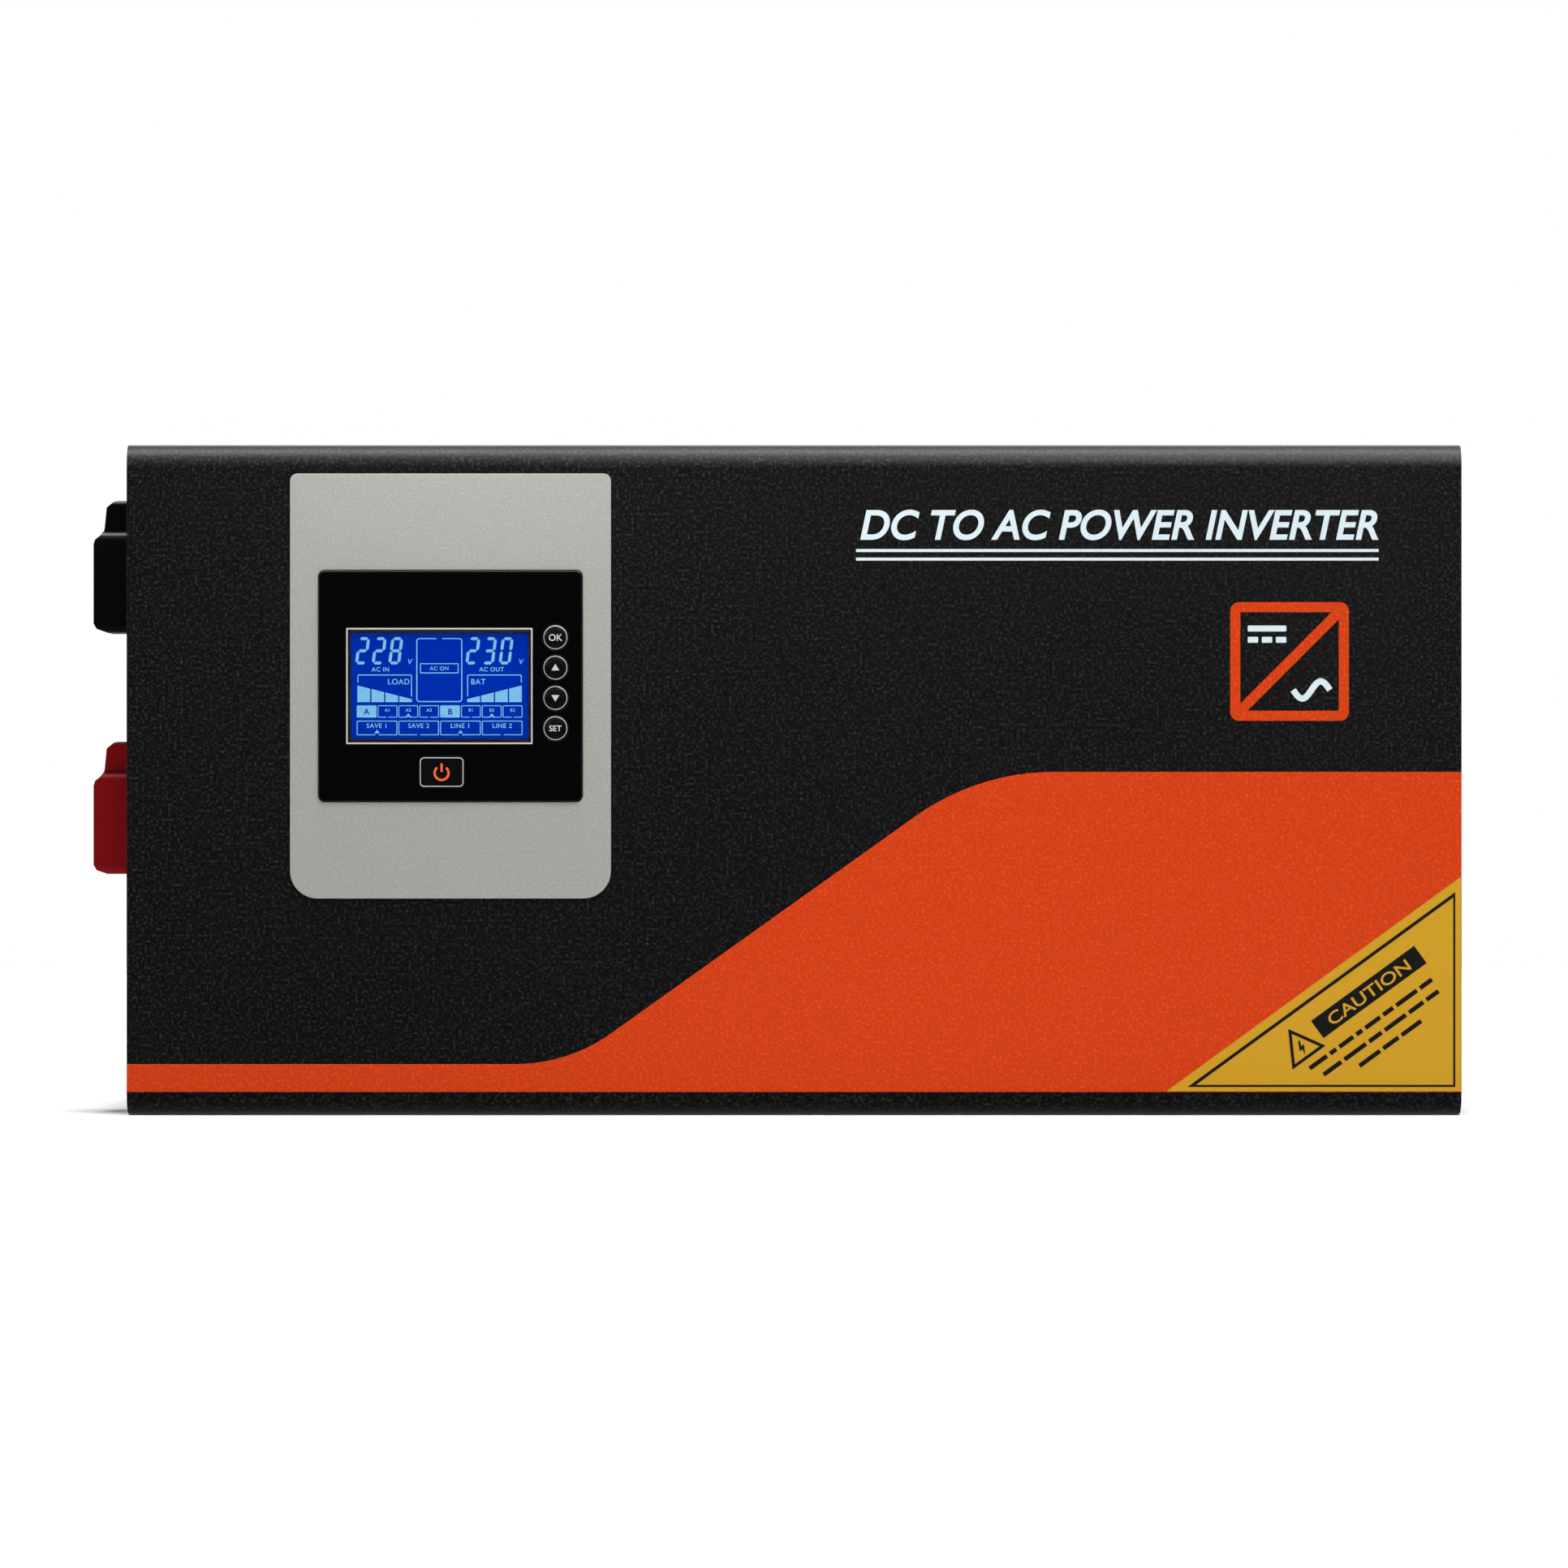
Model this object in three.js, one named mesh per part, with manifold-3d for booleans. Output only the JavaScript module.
// A pure sine wave power inverter for a wall or a shelf: a folded steel cover round a chassis, a display
// with five keys on the front, battery posts and a fan on the left end, mains outlets and a fan on the
// right end, and a toroidal transformer and boards inside.
//
// Millimetres. X runs left to right across the front, Y from the front to the wall, Z up.
// The origin is under the middle of the case, on the surface that the case stands on.

import * as THREE from "three";
import { mergeVertices } from "three/addons/utils/BufferGeometryUtils.js";
import Module from "manifold-3d";

const wasm = await Module();
wasm.setup();

// ---------------------------------------------------------------- driving dimensions

const CASE = { length: 450, depth: 180, height: 226 };
const SHEET = 1.5; // thickness of every folded steel sheet
const FOLD = 8; // outside radius of the cover's two long folds
const RECESS = 14; // how far the end panels sit inside the ends of the cover
const GAP = 0.3; // clearance left between neighbouring pieces
const FLANGE = 12; // width of the folded flanges that hold the sheets together

const DISPLAY = { x: -115.8, z: 144.5, width: 88.5, height: 77.5, corner: 1.8, proud: 1.8, lip: 2 };
const LABEL = { width: 108.2, height: 143.2, topCorner: 2.5, bottomCorner: 9.3, thickness: 0.8 };
const WINDOW = { x: -3.7, width: 62.9, height: 39.2, line: 0.7 }; // measured from the display's centre
const LCD = { width: 66, height: 44, depth: 6 };
const KEY = { radius: 4, x: 35.4, z: 1.1, pitch: 10.2, travel: 0.6 };
const POWER_KEY = { x: -2.9, z: -29, width: 14.6, height: 9.8, corner: 1.4 };

const TERMINAL = { y: -50, negativeZ: 178.6, positiveZ: 96.6, stud: 4, hole: 4.3 };
const BOOT = { half: 15.7, shoulder: 18.8, top: 29.3, reach: 22.7, neckReach: 19.1, neckHalf: 11 };

const FAN = { size: 92, depth: 25, bore: 43.5, rotor: 41.5, hub: 19, screws: 82.5, blades: 7 };
const LEFT_FAN = { y: 30, z: 113 };
const RIGHT_FAN = { y: 34, z: 158 };

const OUTLET = { size: 50, proud: 6, well: 19.5, wellDepth: 17.5, pinPitch: 19, z: 50 };
const OUTLET_Y = [-46, 10];
const INLET = { y: -46, z: 104, width: 31, height: 24 };
const BREAKER = { y: -46, z: 142, radius: 7.5 };
const DATA_PORT = { y: -46, z: 178, width: 16.2, height: 13.7 };
const EARTH = { y: 60, z: 40, radius: 2.5 };

const TRANSFORMER = { x: 92, z: 113, radius: 78, bore: 25, height: 66, pad: 2 };
const BOARD = { x: -92, z: 113, width: 170, height: 200, thickness: 1.6, standoff: 12.9 };

// ---------------------------------------------------------------- derived places

const END = CASE.length / 2;
const FRONT = -CASE.depth / 2;
const BACK = CASE.depth / 2;
const PANEL = END - RECESS; // outer face of an end panel, measured from the middle
const INSIDE = { bottom: SHEET + GAP, top: CASE.height - SHEET - GAP, back: BACK - SHEET };

// ---------------------------------------------------------------- shapes and solids

const TAU = Math.PI * 2;

// A closed outline of four quarter turns. A prism of steps draws each quarter in twice that many edges.
function circle(radius, u = 0, v = 0, Outline = THREE.Shape) {
  const outline = new Outline();
  for (let q = 0; q < 4; q++) {
    outline.absarc(u, v, radius, (q * TAU) / 4, ((q + 1) * TAU) / 4, false);
  }
  return outline;
}

// A rectangle with its own radius at the top and bottom corners.
function rounded(width, height, top, bottom = top, u = 0, v = 0, Outline = THREE.Shape) {
  const outline = new Outline();
  const corners = [
    [1, -1, bottom],
    [1, 1, top],
    [-1, 1, top],
    [-1, -1, bottom],
  ];
  corners.forEach(([du, dv, r], i) => {
    const start = ((i - 1) * TAU) / 4;
    const cu = u + du * (width / 2 - r);
    const cv = v + dv * (height / 2 - r);
    outline.absarc(cu, cv, r, start, start + TAU / 4, false);
  });
  outline.closePath();
  return outline;
}

function polygon(points) {
  return new THREE.Shape(points.map(([u, v]) => new THREE.Vector2(u, v)));
}

const GRID = 4096; // steps per millimetre that corners snap to, so faces meant to meet do meet

// A closed three.js geometry as a solid that can be cut and joined.
function solid(geometry) {
  const bare = geometry.index ? geometry.toNonIndexed() : geometry.clone();
  bare.deleteAttribute("normal");
  bare.deleteAttribute("uv");
  const places = bare.attributes.position.array;
  places.forEach((value, i) => {
    places[i] = Math.round(value * GRID) / GRID;
  });
  const merged = mergeVertices(bare, 1e-4);
  const corners = merged.index.array;
  const kept = [];
  for (let i = 0; i < corners.length; i += 3) {
    const [a, b, c] = corners.slice(i, i + 3);
    if (a !== b && b !== c && c !== a) kept.push(a, b, c);
  }
  const build = (triangles) =>
    new wasm.Manifold(
      new wasm.Mesh({
        numProp: 3,
        vertProperties: merged.attributes.position.array,
        triVerts: new Uint32Array(triangles),
      }),
    );
  const made = build(kept);
  return made.volume() < 0 ? build(kept.reverse()) : made;
}

const join = (...solids) => solids.reduce((sum, next) => sum.add(next));
const cut = (body, ...tools) => tools.reduce((left, tool) => left.subtract(tool), body);

// How a prism's outline (u, v) lies: along "x" u is Y and v is Z, along "y" u is X and v is Z,
// and along "z" u is X and v is Y. It runs between the two places given on that axis.
function prism(outline, axis, from, to, steps = 2) {
  const geometry = new THREE.ExtrudeGeometry(outline, {
    depth: to - from,
    bevelEnabled: false,
    curveSegments: steps,
  });
  const turn = new THREE.Matrix4();
  const [x, y, z] = [
    new THREE.Vector3(1, 0, 0),
    new THREE.Vector3(0, 1, 0),
    new THREE.Vector3(0, 0, 1),
  ];
  if (axis === "x") turn.makeBasis(y, z, x).setPosition(from, 0, 0);
  if (axis === "y") turn.makeBasis(x, z, y.clone().negate()).setPosition(0, to, 0);
  if (axis === "z") turn.makeBasis(x, y, z).setPosition(0, 0, from);
  return solid(geometry.applyMatrix4(turn));
}

function box(x0, x1, y0, y1, z0, z1) {
  const geometry = new THREE.BoxGeometry(x1 - x0, y1 - y0, z1 - z0);
  return solid(geometry.translate((x0 + x1) / 2, (y0 + y1) / 2, (z0 + z1) / 2));
}

// A round bar along an axis, at the two other coordinates u and v of that axis's outline.
function bar(axis, radius, from, to, u = 0, v = 0, steps = 2) {
  return prism(circle(radius, u, v), axis, from, to, steps);
}

// A hexagon prism, measured across its flats.
function hexagon(axis, acrossFlats, from, to, u = 0, v = 0) {
  const reach = acrossFlats / Math.sqrt(3);
  const corners = [0, 1, 2, 3, 4, 5].map((i) => [
    u + reach * Math.cos((i * TAU) / 6),
    v + reach * Math.sin((i * TAU) / 6),
  ]);
  return prism(polygon(corners), axis, from, to);
}

// A profile of [radius, place] points turned round the X or Y axis.
function turned(axis, profile, steps = 24) {
  const points = profile.map(([r, along]) => new THREE.Vector2(r, along));
  const geometry = new THREE.LatheGeometry(points, steps);
  if (axis === "x") geometry.rotateZ(-TAU / 4);
  return solid(geometry);
}

// ---------------------------------------------------------------- colours and meshes

const finish = (color, roughness, metalness = 0) =>
  new THREE.MeshStandardMaterial({ color, roughness, metalness });

const FINISH = {
  blackSteel: finish("#1c1c1c", 0.55, 0.1),
  silverFoil: finish("#b4b3af", 0.4, 0.6),
  glossBlack: finish("#070707", 0.08),
  whiteLine: finish("#d8d8d6", 0.3),
  clear: finish("#30303a", 0.05),
  lcdBlue: finish("#0033b1", 0.3),
  circuitGreen: finish("#1d5a35", 0.5),
  blackPlastic: finish("#101010", 0.5),
  redPlastic: finish("#8c0f18", 0.5),
  blackVinyl: finish("#080808", 0.4),
  redVinyl: finish("#6b0812", 0.45),
  brass: finish("#b59a4f", 0.35, 1),
  zinc: finish("#a9abad", 0.35, 1),
  chrome: finish("#c9cccf", 0.15, 1),
  copper: finish("#b06c3c", 0.3, 1),
  aluminium: finish("#9fa3a6", 0.4, 1),
  winding: finish("#8f4a1e", 0.45, 0.4),
  rubber: finish("#161616", 0.8),
  ribbonGrey: finish("#8b8f94", 0.6),
  capSleeve: finish("#1d2b4f", 0.4),
  relayBlue: finish("#1f3c7a", 0.5),
};

function piece(group, name, body, material) {
  const { numProp, numVert, vertProperties, triVerts } = body.getMesh();
  const places = new Float32Array(numVert * 3);
  for (let i = 0; i < numVert; i++) {
    places.set(vertProperties.subarray(i * numProp, i * numProp + 3), i * 3);
  }
  const geometry = new THREE.BufferGeometry();
  geometry.setAttribute("position", new THREE.BufferAttribute(places, 3));
  geometry.setIndex(new THREE.BufferAttribute(triVerts, 1));
  geometry.computeVertexNormals();
  const mesh = new THREE.Mesh(geometry, material);
  mesh.name = name;
  group.add(mesh);
  return mesh;
}

function groupAt(parent, x, y, z) {
  const group = new THREE.Group();
  group.position.set(x, y, z);
  parent.add(group);
  return group;
}

const inverter = new THREE.Group();

// ---------------------------------------------------------------- enclosure

const SCREW = { x: PANEL - SHEET - FLANGE / 2, y: 40, head: 3.6, cone: 1.3, shank: 1.9, length: 8 };
const KEYHOLE = { x: END - RECESS / 2, bottomZ: 30, topZ: 190, entry: 4.5, slot: 2.6, rise: 9 };

// The countersunk seat of a cover screw, wider than the screw by extra. side is 1 on top, -1 below.
function countersunk(side, extra, x, y) {
  const face = side > 0 ? CASE.height : 0;
  const profile = [
    [0, face],
    [SCREW.head + extra, face],
    [SCREW.shank + extra, face - side * SCREW.cone],
    [SCREW.shank + extra, face - side * SCREW.length],
    [0, face - side * SCREW.length],
  ];
  const points = profile.map(([r, z]) => new THREE.Vector2(r, z));
  const geometry = new THREE.LatheGeometry(points, 16).rotateX(TAU / 4);
  return solid(geometry).translate([x, y, 0]);
}

// The cover wraps the top, the front and the bottom in one folded sheet.
function coverProfile() {
  const inner = FOLD - SHEET;
  const high = CASE.height - FOLD;
  const centre = FRONT + FOLD;
  const outline = new THREE.Shape();
  outline.moveTo(BACK, CASE.height);
  outline.absarc(centre, high, FOLD, TAU / 4, TAU / 2, false);
  outline.absarc(centre, FOLD, FOLD, TAU / 2, (TAU * 3) / 4, false);
  outline.lineTo(BACK, 0);
  outline.lineTo(BACK, SHEET);
  outline.absarc(centre, FOLD, inner, (TAU * 3) / 4, TAU / 2, true);
  outline.absarc(centre, high, inner, TAU / 2, TAU / 4, true);
  outline.lineTo(BACK, CASE.height - SHEET);
  outline.closePath();
  return outline;
}

function cover() {
  const sheet = prism(coverProfile(), "x", -END, END, 4);
  const opening = rounded(
    DISPLAY.width - 2 * DISPLAY.lip + GAP,
    DISPLAY.height - 2 * DISPLAY.lip + GAP,
    1,
    1,
    DISPLAY.x,
    DISPLAY.z,
  );
  const seats = [];
  for (const side of [1, -1]) {
    for (const x of [-SCREW.x, SCREW.x]) seats.push(countersunk(side, GAP, x, SCREW.y));
  }
  return cut(sheet, prism(opening, "y", FRONT - 1, FRONT + 2 * SHEET, 1), ...seats);
}

// The hole that drops over a wall screw's head, then hangs on its neck.
function keyhole(x, z) {
  const entry = bar("y", KEYHOLE.entry, BACK - 2 * SHEET, BACK + 1, x, z);
  const neck = bar("y", KEYHOLE.slot, BACK - 2 * SHEET, BACK + 1, x, z + KEYHOLE.rise);
  const slot = box(
    x - KEYHOLE.slot,
    x + KEYHOLE.slot,
    BACK - 2 * SHEET,
    BACK + 1,
    z,
    z + KEYHOLE.rise,
  );
  return join(entry, neck, slot);
}

// The back plate, with a flange along its top and bottom edges.
function chassis() {
  const flangeEnd = PANEL - SHEET - FLANGE - 2;
  const plate = box(-END, END, INSIDE.back, BACK, INSIDE.bottom, INSIDE.top);
  const front = INSIDE.back - FLANGE;
  const top = box(-flangeEnd, flangeEnd, front, INSIDE.back, INSIDE.top - SHEET, INSIDE.top);
  const bottom = box(-flangeEnd, flangeEnd, front, INSIDE.back, INSIDE.bottom, INSIDE.bottom + SHEET);
  const holes = [];
  for (const x of [-KEYHOLE.x, KEYHOLE.x]) {
    for (const z of [KEYHOLE.bottomZ, KEYHOLE.topZ]) holes.push(keyhole(x, z));
  }
  return cut(join(plate, top, bottom), ...holes);
}

// An end panel with its flanges folded inwards. side is -1 on the left and 1 on the right.
function endPanel(side, openings) {
  const centreZ = CASE.height / 2;
  const height = INSIDE.top - INSIDE.bottom;
  const depth = INSIDE.back - GAP - (FRONT + SHEET + GAP);
  const centreY = (INSIDE.back - GAP + FRONT + SHEET + GAP) / 2;
  const span = (a, b) => (side > 0 ? [a, b] : [-b, -a]);
  const sheetOutline = new THREE.Shape();
  const r = FOLD - SHEET - GAP;
  const [y0, y1] = [centreY - depth / 2, centreY + depth / 2];
  const [z0, z1] = [centreZ - height / 2, centreZ + height / 2];
  sheetOutline.moveTo(y1, z0);
  sheetOutline.lineTo(y1, z1);
  sheetOutline.absarc(y0 + r, z1 - r, r, TAU / 4, TAU / 2, false);
  sheetOutline.absarc(y0 + r, z0 + r, r, TAU / 2, (TAU * 3) / 4, false);
  sheetOutline.closePath();
  const sheet = prism(sheetOutline, "x", ...span(PANEL - SHEET, PANEL));
  const inward = span(PANEL - SHEET - FLANGE, PANEL - SHEET);
  const rear = box(...inward, y1 - SHEET, y1, z0 + FLANGE, z1 - FLANGE);
  const top = box(...inward, -70, 66, z1 - SHEET, z1);
  const bottom = box(...inward, -70, 66, z0, z0 + SHEET);
  const threads = [1, -1].map((way) => countersunk(way, GAP, side * SCREW.x, SCREW.y));
  return cut(join(sheet, rear, top, bottom), ...threads, ...openings);
}

// A row of level ventilation slots through an end panel.
function vents(side, y, z, rows, width) {
  const slots = [];
  for (let i = 0; i < rows; i++) {
    const slot = rounded(width, 3, 1.2, 1.2, y, z + i * 7);
    slots.push(prism(slot, "x", side * PANEL - 3, side * PANEL + 3, 1));
  }
  return slots;
}

function fanOpening(side, place) {
  return bar("x", FAN.bore - 1, side * PANEL - 3, side * PANEL + 3, place.y, place.z, 4);
}

function leftEndPanel() {
  const studs = [TERMINAL.negativeZ, TERMINAL.positiveZ].map((z) =>
    bar("x", 8, -PANEL - 3, -PANEL + 3, TERMINAL.y, z),
  );
  return endPanel(-1, [fanOpening(-1, LEFT_FAN), ...studs, ...vents(-1, LEFT_FAN.y, 18, 5, 76)]);
}

function rightEndPanel() {
  const through = (outline, steps = 2) => prism(outline, "x", PANEL - 3, PANEL + 3, steps);
  const outlets = OUTLET_Y.map((y) => through(circle(OUTLET.well + 2.5, y, OUTLET.z), 3));
  const inlet = rounded(INLET.width - 4, INLET.height - 4, 1, 1, INLET.y, INLET.z);
  const port = rounded(
    DATA_PORT.width + 2 * GAP,
    DATA_PORT.height + 2 * GAP,
    0.5,
    0.5,
    DATA_PORT.y,
    DATA_PORT.z,
  );
  return endPanel(1, [
    fanOpening(1, RIGHT_FAN),
    ...outlets,
    through(inlet, 1),
    through(port, 1),
    through(circle(BREAKER.radius + GAP, BREAKER.y, BREAKER.z)),
    through(circle(EARTH.radius + GAP, EARTH.y, EARTH.z)),
    ...vents(1, 58, 62, 5, 36),
  ]);
}

piece(inverter, "cover", cover(), FINISH.blackSteel);
piece(inverter, "chassis", chassis(), FINISH.blackSteel);
piece(inverter, "left_end_panel", leftEndPanel(), FINISH.blackSteel);
piece(inverter, "right_end_panel", rightEndPanel(), FINISH.blackSteel);
for (const [side, level] of [
  [1, "top"],
  [-1, "bottom"],
]) {
  for (const [way, end] of [
    [-1, "left"],
    [1, "right"],
  ]) {
    const screw = countersunk(side, 0, way * SCREW.x, SCREW.y);
    piece(inverter, `cover_screw_${level}_${end}`, screw, FINISH.zinc);
  }
}

// ---------------------------------------------------------------- display, on the front of the cover
// Local origin: the middle of the display, on the cover's front face. The viewer is on the -Y side.

const display = groupAt(inverter, DISPLAY.x, FRONT, DISPLAY.z);
const FACE = -DISPLAY.proud; // front of the display's frame
const BOARD_Y = 11; // front of the display's circuit board

function displayLabel() {
  const outline = rounded(LABEL.width, LABEL.height, LABEL.topCorner, LABEL.bottomCorner);
  const hole = rounded(
    DISPLAY.width + 2 * GAP,
    DISPLAY.height + 2 * GAP,
    DISPLAY.corner + GAP,
    DISPLAY.corner + GAP,
    0,
    0,
    THREE.Path,
  );
  outline.holes.push(hole);
  return prism(outline, "y", -LABEL.thickness, 0, 3);
}

// The heights of the four round keys, from the top one down.
const keyHeights = [0, 1, 2, 3].map((i) => KEY.z + (1.5 - i) * KEY.pitch);

function displayBezel() {
  const frame = rounded(DISPLAY.width, DISPLAY.height, DISPLAY.corner);
  const inner = [DISPLAY.width - 2 * DISPLAY.lip, DISPLAY.height - 2 * DISPLAY.lip];
  const wall = 1.2;
  const skirt = rounded(...inner, 1);
  skirt.holes.push(rounded(inner[0] - 2 * wall, inner[1] - 2 * wall, 0.6, 0.6, 0, 0, THREE.Path));
  const body = join(prism(frame, "y", FACE, 0), prism(skirt, "y", 0, BOARD_Y, 1));
  const { width, height, x } = WINDOW;
  const window = box(x - width / 2, x + width / 2, FACE - 1, 1, -height / 2, height / 2);
  const keyHoles = keyHeights.map((z) => bar("y", KEY.radius + GAP, FACE - 1, 1, KEY.x, z, 3));
  const powerHole = rounded(
    POWER_KEY.width + 2 * GAP,
    POWER_KEY.height + 2 * GAP,
    POWER_KEY.corner + GAP,
    POWER_KEY.corner + GAP,
    POWER_KEY.x,
    POWER_KEY.z,
  );
  return cut(body, window, ...keyHoles, prism(powerHole, "y", FACE - 1, 1));
}

function windowTrim() {
  const { width, height, line, x } = WINDOW;
  const outline = rounded(width, height, 0.3, 0.3, x);
  outline.holes.push(
    rounded(width - 2 * line, height - 2 * line, 0.2, 0.2, x, 0, THREE.Path),
  );
  return prism(outline, "y", FACE - 0.3, -0.5, 1);
}

function displayWindow() {
  const half = [WINDOW.width / 2 - WINDOW.line - 0.1, WINDOW.height / 2 - WINDOW.line - 0.1];
  return box(WINDOW.x - half[0], WINDOW.x + half[0], -1.5, -0.4, -half[1], half[1]);
}

function lcdModule() {
  const [halfWidth, halfHeight] = [LCD.width / 2, LCD.height / 2];
  const glass = box(WINDOW.x - halfWidth, WINDOW.x + halfWidth, 0.1, 2, -halfHeight, halfHeight);
  const backlight = box(
    WINDOW.x - halfWidth + 2,
    WINDOW.x + halfWidth - 2,
    2,
    LCD.depth,
    -halfHeight + 2,
    halfHeight - 2,
  );
  return join(glass, backlight);
}

// A tactile switch that a key pushes: a square body and a round plunger, its feet in the board.
function tactileSwitch(x, z) {
  const seat = BOARD_Y + GAP;
  const body = box(x - 3, x + 3, seat - 3.5, seat + 0.5, z - 3, z + 3);
  return join(body, bar("y", 1.75, seat - 4.3, seat, x, z));
}

function displayBoard() {
  const half = [DISPLAY.width / 2 - DISPLAY.lip, DISPLAY.height / 2 - DISPLAY.lip];
  const board = box(-half[0], half[0], BOARD_Y + GAP, BOARD_Y + GAP + 1.6, -half[1], half[1]);
  const switches = keyHeights.map((z) => tactileSwitch(KEY.x, z));
  switches.push(tactileSwitch(POWER_KEY.x, POWER_KEY.z));
  return join(board, ...switches);
}

const STEM_END = BOARD_Y + GAP - 4.3 - KEY.travel - 0.2;

// A round key: a slightly domed cap, a flange that keeps it in the frame, and a stem.
function roundKey() {
  return turned("y", [
    [0, FACE - 1.1],
    [2.6, FACE - 0.9],
    [KEY.radius - 0.1, FACE - 0.4],
    [KEY.radius, 0.2],
    [KEY.radius + 0.8, 0.2],
    [KEY.radius + 0.8, 1],
    [1.6, 1],
    [1.6, STEM_END],
    [0, STEM_END],
  ], 16);
}

function powerKey() {
  const { width, height, corner } = POWER_KEY;
  const cap = prism(rounded(width, height, corner), "y", FACE - 0.8, 0.2);
  const flange = prism(rounded(width + 1.4, height + 1.4, corner), "y", 0.2, 1);
  return join(cap, flange, bar("y", 1.6, 1, STEM_END));
}

piece(display, "front_label", displayLabel(), FINISH.silverFoil);
piece(display, "display_bezel", displayBezel(), FINISH.glossBlack);
piece(display, "window_trim", windowTrim(), FINISH.whiteLine);
piece(display, "display_window", displayWindow(), FINISH.clear);
piece(display, "lcd_module", lcdModule(), FINISH.lcdBlue);
piece(display, "display_board", displayBoard(), FINISH.circuitGreen);
["enter", "up", "down", "mode"].forEach((name, i) => {
  const key = piece(display, `key_${name}`, roundKey(), FINISH.glossBlack);
  key.position.set(KEY.x, 0, keyHeights[i]);
});
const power = piece(display, "key_power", powerKey(), FINISH.glossBlack);
power.position.set(POWER_KEY.x, 0, POWER_KEY.z);

// ---------------------------------------------------------------- battery terminals, on the left end
// Local origin: the stud's axis on the panel's outer face. Outwards is -X.

const BASE = { plate: 4, boss: 4, half: 16, bossHalf: 12.5 };
const RIM = -(BASE.plate + GAP); // where a boot's rim meets the base plate
const STUD = { tip: -21, head: 5.5, bar: 3, collar: 6 };
const STRAP_FACE = STUD.collar + 0.5; // outer face of the busbar behind the panel
const HEAD_FACE = STRAP_FACE + STUD.bar + GAP;

function terminalBase() {
  const { plate, boss, half, bossHalf } = BASE;
  const flange = prism(rounded(2 * half, 2 * half, 2), "x", -plate, 0, 1);
  const raised = prism(rounded(2 * bossHalf, 2 * bossHalf, 1.5), "x", -plate - boss, -plate, 1);
  const collar = bar("x", 8 - GAP, 0, STUD.collar);
  return cut(join(flange, raised, collar), bar("x", TERMINAL.hole, -plate - boss - 1, 10));
}

// A bolt pushed out through the panel from inside, so that its thread makes the battery post.
function terminalStud() {
  const head = hexagon("x", 13, HEAD_FACE, HEAD_FACE + STUD.head);
  return join(head, bar("x", TERMINAL.stud, STUD.tip, HEAD_FACE));
}

// The flanged nut that clamps a cable lug on the post.
function terminalNut() {
  const seat = -(BASE.plate + BASE.boss) - GAP;
  const washer = bar("x", 8.5, seat - 1.5, seat);
  const nut = hexagon("x", 13, seat - 7.5, seat - 1.5);
  return cut(join(washer, nut), bar("x", TERMINAL.hole, seat - 9, seat + 1));
}

// A vinyl boot over the post. Its neck points up and lets the battery cable in.
function terminalBoot() {
  const { half, shoulder, top, reach, neckReach, neckHalf } = BOOT;
  const out = (u) => RIM - u;
  const side = polygon([
    [RIM, -half],
    [out(reach - 2.6), -half],
    [out(reach), -half + 2.6],
    [out(reach), half],
    [out(neckReach), shoulder],
    [out(neckReach), top - 2.2],
    [out(neckReach - 2.6), top],
    [RIM, top],
  ]);
  const bodyOutline = rounded(2 * half, half + shoulder, 3, 3, 0, (shoulder - half) / 2);
  const neckOutline = rounded(2 * neckHalf, 20, 1.5, 1.5, 0, top - 10);
  const seen = join(
    prism(bodyOutline, "x", out(reach), RIM),
    prism(neckOutline, "x", out(reach), RIM, 1),
  );
  const plan = polygon([
    [RIM, -half],
    [out(reach - 2.4), -half],
    [out(reach), -half + 2.4],
    [out(reach), half - 2.4],
    [out(reach - 2.4), half],
    [RIM, half],
  ]);
  const outer = seen.intersect(prism(side, "y", -half, half)).intersect(prism(plan, "z", -40, 40));
  const hollowHalf = BASE.bossHalf + GAP + 0.2;
  const hollow = prism(rounded(2 * hollowHalf, 2 * hollowHalf, 1.5), "x", out(reach - 2), RIM + 1, 1);
  const bore = box(out(neckReach - 2.4), RIM - 4, -8, 8, 0, top + 1);
  return cut(outer, hollow, bore);
}

for (const [pole, z, plastic, vinyl] of [
  ["negative", TERMINAL.negativeZ, FINISH.blackPlastic, FINISH.blackVinyl],
  ["positive", TERMINAL.positiveZ, FINISH.redPlastic, FINISH.redVinyl],
]) {
  const terminal = groupAt(inverter, -PANEL, TERMINAL.y, z);
  piece(terminal, `terminal_base_${pole}`, terminalBase(), plastic);
  piece(terminal, `terminal_stud_${pole}`, terminalStud(), FINISH.brass);
  piece(terminal, `terminal_nut_${pole}`, terminalNut(), FINISH.zinc);
  piece(terminal, `terminal_boot_${pole}`, terminalBoot(), vinyl);
}

// ---------------------------------------------------------------- fans, one inside each end panel
// Local origin: the fan's axis on the panel's outer face. Outwards is -X, and the fan is on the +X side.

const FAN_FACE = SHEET + GAP;

function fanFrame() {
  const square = prism(rounded(FAN.size, FAN.size, 4), "x", FAN_FACE, FAN_FACE + FAN.depth, 1);
  const back = FAN_FACE + FAN.depth;
  const arms = [0, 1].map((i) => {
    const arm = box(back - 3, back, -FAN.bore - 1, FAN.bore + 1, -2.5, 2.5);
    return arm.rotate([45 + i * 90, 0, 0]);
  });
  const motorPlate = bar("x", FAN.hub, back - 3, back, 0, 0, 3);
  const corners = [-1, 1].flatMap((u) =>
    [-1, 1].map((v) =>
      bar("x", 2.2, -1, back + 1, (u * FAN.screws) / 2, (v * FAN.screws) / 2, 1),
    ),
  );
  const duct = cut(square, bar("x", FAN.bore, -1, back + 1, 0, 0, 4));
  return cut(join(duct, ...arms, motorPlate), ...corners);
}

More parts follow.
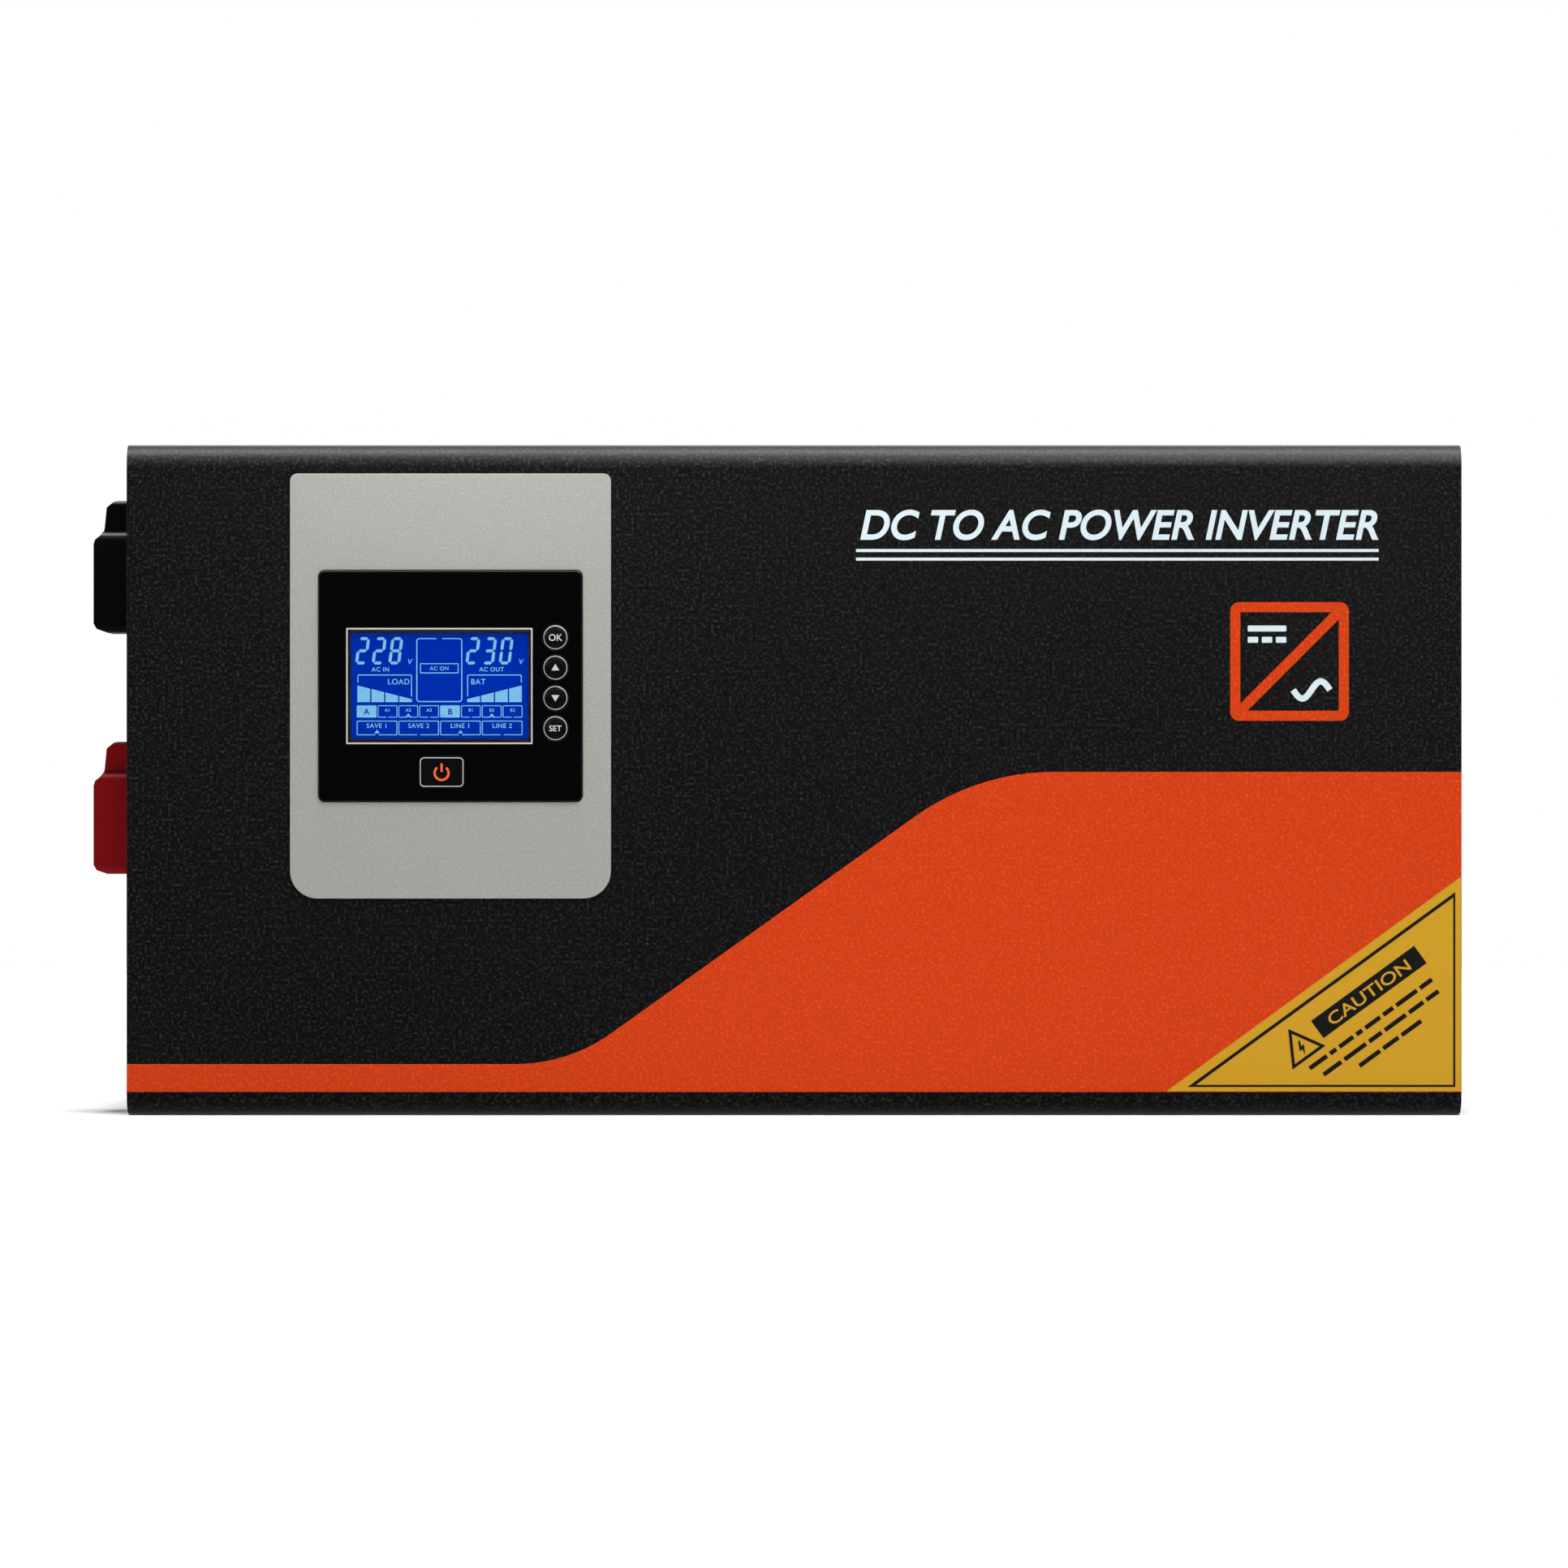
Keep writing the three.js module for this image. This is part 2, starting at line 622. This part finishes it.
// The hub with its blades, each one a plate pitched to the airflow.
function fanRotor() {
  const [front, back] = [FAN_FACE + 1.5, FAN_FACE + FAN.depth - 4];
  const middle = (front + back) / 2;
  const hub = bar("x", FAN.hub, front, back, 0, 0, 3);
  const blades = [];
  for (let i = 0; i < FAN.blades; i++) {
    const blade = box(-1, 1, -11.5, 11.5, FAN.hub - 4, FAN.rotor);
    const pitched = blade.rotate([0, 0, 48]).translate([middle, 0, 0]);
    blades.push(pitched.rotate([(i * 360) / FAN.blades, 0, 0]));
  }
  return join(hub, ...blades);
}

// A wire guard: rings and two crossing bars that end in the four screw eyes.
function fanGuard() {
  const wire = 1;
  const depth = -2.6;
  const rings = [14, 26, 38].map((radius) => {
    const ring = circle(radius + wire);
    ring.holes.push(circle(radius - wire, 0, 0, THREE.Path));
    return prism(ring, "x", depth - wire, depth + wire, 3);
  });
  const reach = FAN.screws / Math.SQRT2;
  const bars = [45, 135].map((angle) =>
    box(depth - 0.8, depth + 0.8, -reach, reach, -wire, wire).rotate([angle, 0, 0]),
  );
  const atCorners = (radius, from, to) =>
    [-1, 1].flatMap((u) =>
      [-1, 1].map((v) => bar("x", radius, from, to, (u * FAN.screws) / 2, (v * FAN.screws) / 2, 1)),
    );
  const eyes = atCorners(4.2, depth - wire, -GAP);
  return cut(join(...rings, ...bars, ...eyes), ...atCorners(2.2, depth - 3, 1));
}

for (const [end, side, place] of [
  ["left", -1, LEFT_FAN],
  ["right", 1, RIGHT_FAN],
]) {
  const fan = groupAt(inverter, side * PANEL, place.y, place.z);
  if (side > 0) fan.rotation.z = Math.PI;
  piece(fan, `fan_frame_${end}`, fanFrame(), FINISH.blackPlastic);
  piece(fan, `fan_rotor_${end}`, fanRotor(), FINISH.blackPlastic);
  piece(fan, `fan_guard_${end}`, fanGuard(), FINISH.chrome);
}

// ---------------------------------------------------------------- mains side, on the right end
// Local origins lie on the panel's outer face. Outwards is +X.

const EARTH_CLIP = { half: 2.5, thickness: 0.8, z: 16.6 };

// A panel outlet with a round well, two pin holes, and slots for the strip that earths the plug.
function outletBody() {
  const { size, proud, well, wellDepth, pinPitch } = OUTLET;
  const floor = proud - wellDepth;
  const plate = prism(rounded(size, size, 4), "x", GAP, proud);
  const cup = bar("x", well + 2, floor - 3, proud, 0, 0, 4);
  const contacts = [-1, 1].map((way) => {
    const [y0, y1] = way < 0 ? [-15, -4] : [4, 15];
    return box(floor - 17, floor - 2, y0, y1, -8, 8);
  });
  const hollow = bar("x", well, floor, proud + 1, 0, 0, 4);
  const pins = [-1, 1].map((way) => bar("x", 2.6, floor - 15, floor + 1, (way * pinPitch) / 2));
  const slots = [-1, 1].map((way) => {
    const reach = EARTH_CLIP.half + GAP;
    const [z0, z1] = [EARTH_CLIP.z - 0.7, EARTH_CLIP.z + EARTH_CLIP.thickness + GAP];
    return way < 0
      ? box(floor - 5, floor + 1, -reach, reach, -z1, -z0)
      : box(floor - 5, floor + 1, -reach, reach, z0, z1);
  });
  return cut(join(plate, cup, ...contacts), hollow, ...pins, ...slots);
}

// A spring strip bent to a U, whose two ends touch the plug's sides.
function earthStrap() {
  const { half, thickness, z } = EARTH_CLIP;
  const floor = OUTLET.proud - OUTLET.wellDepth;
  const behind = floor - 3 - GAP;
  const bridge = box(behind - thickness, behind, -half, half, -z - thickness, z + thickness);
  const legs = [
    box(behind - thickness, floor + 14, -half, half, z, z + thickness),
    box(behind - thickness, floor + 14, -half, half, -z - thickness, -z),
  ];
  return join(bridge, ...legs);
}

OUTLET_Y.forEach((y, i) => {
  const outlet = groupAt(inverter, PANEL, y, OUTLET.z);
  piece(outlet, `ac_outlet_${i + 1}`, outletBody(), FINISH.blackPlastic);
  piece(outlet, `outlet_earth_strap_${i + 1}`, earthStrap(), FINISH.brass);
});

// A three-pin mains inlet: the pins stand in a hollow that takes the lead's connector.
function acInlet() {
  const { width, height } = INLET;
  const face = prism(rounded(width, height, 2), "x", GAP, 3, 1);
  const shell = prism(rounded(width - 5, height - 5, 1.5), "x", -20, GAP, 1);
  const hollow = prism(rounded(width - 7.5, height - 7.5, 2), "x", -14, 4, 1);
  const pins = [
    [-7, -1.5],
    [7, -1.5],
    [0, 2.5],
  ].map(([y, z]) => box(-26, 1, y - 1, y + 1, z - 2, z + 2));
  return join(cut(join(face, shell), hollow), ...pins);
}
piece(groupAt(inverter, PANEL, INLET.y, INLET.z), "ac_inlet", acInlet(), FINISH.blackPlastic);

// The push-to-reset thermal breaker: a threaded body, its ring nut and its button.
const BUTTON = { radius: 3.6, face: 7.5 };

function breakerBody() {
  const neck = bar("x", BREAKER.radius, -6, 5);
  const housing = box(-34, -6, -9, 9, -15, 15);
  const flange = bar("x", BREAKER.radius + 3, -SHEET - GAP - 4.2, -SHEET - GAP);
  return cut(join(neck, housing, flange), bar("x", BUTTON.radius + GAP, -12, 6));
}

function breakerNut() {
  const ring = bar("x", 10.5, GAP, 3.2, 0, 0, 3);
  return cut(ring, bar("x", BREAKER.radius + GAP, -1, 4));
}

const breaker = groupAt(inverter, PANEL, BREAKER.y, BREAKER.z);
piece(breaker, "breaker_body", breakerBody(), FINISH.blackPlastic);
piece(breaker, "breaker_nut", breakerNut(), FINISH.zinc);
const breakerButton = bar("x", BUTTON.radius, -11.5, BUTTON.face);
piece(breaker, "breaker_button", breakerButton, FINISH.redPlastic);

function dataPort() {
  const { width, height } = DATA_PORT;
  const jack = prism(rounded(width, height, 0.6), "x", -20, 1, 1);
  const hollow = box(-14, 2, -5.9, 5.9, -3.4, 4.6);
  const latch = box(-14, 2, -3, 3, -5.2, -3.4);
  const board = box(-26, -3, -14, 14, -height / 2 - 1.9, -height / 2);
  return join(cut(jack, hollow, latch), board);
}
piece(groupAt(inverter, PANEL, DATA_PORT.y, DATA_PORT.z), "data_port", dataPort(), FINISH.blackPlastic);

const earth = groupAt(inverter, PANEL, EARTH.y, EARTH.z);
const earthHead = hexagon("x", 8, -SHEET - GAP - 4, -SHEET - GAP);
const earthBolt = join(earthHead, bar("x", EARTH.radius, -SHEET - GAP, 12));
piece(earth, "earth_bolt", earthBolt, FINISH.brass);
const earthNut = join(bar("x", 6, GAP, 1.5), hexagon("x", 8, 1.5, 5.5));
piece(earth, "earth_nut", cut(earthNut, bar("x", EARTH.radius + GAP, -1, 7)), FINISH.zinc);

// ---------------------------------------------------------------- transformer, bolted to the back plate
// Local origin: the middle of the winding, on the back plate's inner face. Forwards is -Y.

const transformer = groupAt(inverter, TRANSFORMER.x, INSIDE.back, TRANSFORMER.z);
const WOUND = { back: -TRANSFORMER.pad - GAP, front: -TRANSFORMER.pad - GAP - TRANSFORMER.height };

function toroidWinding() {
  const { radius, bore } = TRANSFORMER;
  const { back, front } = WOUND;
  const r = 12;
  const steps = 2;
  const profile = [];
  const corners = [
    [radius - r, front + r, -TAU / 4],
    [radius - r, back - r, 0],
    [bore + r, back - r, TAU / 4],
    [bore + r, front + r, TAU / 2],
  ];
  for (const [u, v, start] of corners) {
    for (let i = 0; i <= steps; i++) {
      const angle = start + ((TAU / 4) * i) / steps;
      profile.push([u + r * Math.cos(angle), v + r * Math.sin(angle)]);
    }
  }
  profile.push(profile[0]);
  return turned("y", profile, 28);
}

const pad = cut(bar("y", 60, -TRANSFORMER.pad, 0, 0, 0, 4), bar("y", 8, -5, 1));
piece(transformer, "transformer_pad", pad, FINISH.rubber);
piece(transformer, "transformer_winding", toroidWinding(), FINISH.winding);

const dish = turned("y", [
  [6, WOUND.front - 4],
  [22, WOUND.front - 4],
  [44, WOUND.front - 2.5],
  [44, WOUND.front - GAP],
  [6, WOUND.front - GAP],
  [6, WOUND.front - 4],
]);
piece(transformer, "transformer_dish", dish, FINISH.zinc);

const boltHead = hexagon("y", 17, WOUND.front - 11, WOUND.front - 4 - GAP);
const transformerBolt = join(boltHead, bar("y", 5, WOUND.front - 5, -0.5));
piece(transformer, "transformer_bolt", transformerBolt, FINISH.zinc);

// ---------------------------------------------------------------- power stage, on the back plate
// Local origin: the middle of the main board, on the back plate's inner face. Forwards is -Y.

const power_stage = groupAt(inverter, BOARD.x, INSIDE.back, BOARD.z);
const BOARD_BACK = -BOARD.standoff;
const BOARD_FRONT = BOARD_BACK - BOARD.thickness;
const ON_BOARD = BOARD_FRONT - GAP; // the back of everything that stands on the board

function mainBoard() {
  const [halfX, halfZ] = [BOARD.width / 2, BOARD.height / 2];
  const board = box(-halfX, halfX, BOARD_FRONT, BOARD_BACK, -halfZ, halfZ);
  const pillars = [-1, 1].flatMap((u) =>
    [-1, 1].map((v) => hexagon("y", 7, BOARD_BACK, -GAP, u * (halfX - 8), v * (halfZ - 8))),
  );
  return join(board, ...pillars);
}

// An extruded heat sink: a base along the airflow with fins on its outer side. way is 1 up, -1 down.
function heatSink(way) {
  const fins = 6;
  const [length, depth, base, fin] = [150, 48, 6, 26];
  const wall = box(-length / 2, length / 2, ON_BOARD - depth, ON_BOARD, 0, base);
  const blades = [];
  for (let i = 0; i < fins; i++) {
    const y = ON_BOARD - 2.5 - (i * (depth - 5)) / (fins - 1);
    blades.push(box(-length / 2, length / 2, y - 1.1, y + 1.1, base - 1, base + fin));
  }
  const sink = join(wall, ...blades);
  return way > 0 ? sink.translate([0, 0, 52]) : sink.mirror([0, 0, 1]).translate([0, 0, -52]);
}

piece(power_stage, "main_board", mainBoard(), FINISH.circuitGreen);
piece(power_stage, "heat_sink_upper", heatSink(1), FINISH.aluminium);
piece(power_stage, "heat_sink_lower", heatSink(-1), FINISH.aluminium);
[-58, -22].forEach((x, i) => {
  const can = bar("y", 15, ON_BOARD - 42, ON_BOARD, x, 0, 3);
  piece(power_stage, `bulk_capacitor_${i + 1}`, can, FINISH.capSleeve);
});
[-18, 18].forEach((z, i) => {
  const relay = box(40, 68, ON_BOARD - 24, ON_BOARD, z - 12, z + 12);
  piece(power_stage, `transfer_relay_${i + 1}`, relay, FINISH.relayBlue);
});

function filterChoke() {
  const profile = [
    [8, -7],
    [11, -10],
    [17, -10],
    [20, -7],
    [20, 7],
    [17, 10],
    [11, 10],
    [8, 7],
    [8, -7],
  ];
  return turned("y", profile, 20).translate([14, ON_BOARD - 10, 0]);
}
piece(power_stage, "filter_choke", filterChoke(), FINISH.winding);

// The control board stands in front of the capacitors on its plug-in header.
const CONTROL = { front: -76, x0: -76, x1: 30, half: 36 };
function controlBoard() {
  const { front, x0, x1, half } = CONTROL;
  const board = box(x0, x1, front, front + 1.6, -half, half);
  const header = box(26, 30, front, ON_BOARD, 24, 34);
  return join(board, header);
}
piece(power_stage, "control_board", controlBoard(), FINISH.circuitGreen);

// The flat cable between the display's board and the control board, hanging in a shallow curve.
function displayRibbon() {
  const [y0, y1] = [FRONT + BOARD_Y + GAP + 1.6 + GAP, INSIDE.back + CONTROL.front - GAP];
  const [z0, z1] = [DISPLAY.z - 24, BOARD.z + 10];
  const thickness = 1;
  const band = new THREE.Shape();
  band.moveTo(y0, z0);
  band.bezierCurveTo(y0 + 30, z0 - 4, y1 - 30, z1 - 26, y1, z1 - 10);
  band.lineTo(y1, z1 - 10 + thickness);
  band.bezierCurveTo(y1 - 30, z1 - 26 + thickness, y0 + 30, z0 - 4 + thickness, y0, z0 + thickness);
  band.closePath();
  return prism(band, "x", -132, -107, 8);
}
piece(inverter, "display_ribbon", displayRibbon(), FINISH.ribbonGrey);

// ---------------------------------------------------------------- busbars, from the posts to the board

const STRAP = { face: -PANEL + STRAP_FACE, half: 10, foot: INSIDE.back + ON_BOARD };
const strapHole = (z) => bar("x", TERMINAL.hole, STRAP.face - 2, STRAP.face + 5, TERMINAL.y, z);

// Straight back above the fan, then on to the board.
function negativeBusbar() {
  const z = TERMINAL.negativeZ;
  const x = STRAP.face;
  const run = box(x, x + STUD.bar, TERMINAL.y - STRAP.half, STRAP.foot, z - STRAP.half, z + STRAP.half);
  const foot = box(x, x + 35, STRAP.foot - STUD.bar, STRAP.foot, z - STRAP.half, z + STRAP.half);
  return cut(join(run, foot), strapHole(z));
}

// Round the inside of the fan, then on to the board.
function positiveBusbar() {
  const z = TERMINAL.positiveZ;
  const x = STRAP.face;
  const [z0, z1] = [z - STRAP.half, z + STRAP.half];
  const inner = -PANEL + FAN_FACE + FAN.depth + 5;
  const turn = LEFT_FAN.y - FAN.size / 2 - 8;
  const plate = box(x, x + STUD.bar, TERMINAL.y - STRAP.half, turn, z0, z1);
  const across = box(x, inner, turn - STUD.bar, turn, z0, z1);
  const back = box(inner - STUD.bar, inner, turn - STUD.bar, STRAP.foot, z0, z1);
  const foot = box(inner - STUD.bar, inner + 12, STRAP.foot - STUD.bar, STRAP.foot, z0, z1);
  return cut(join(plate, across, back, foot), strapHole(z));
}
piece(inverter, "busbar_negative", negativeBusbar(), FINISH.copper);
piece(inverter, "busbar_positive", positiveBusbar(), FINISH.copper);

export default inverter;
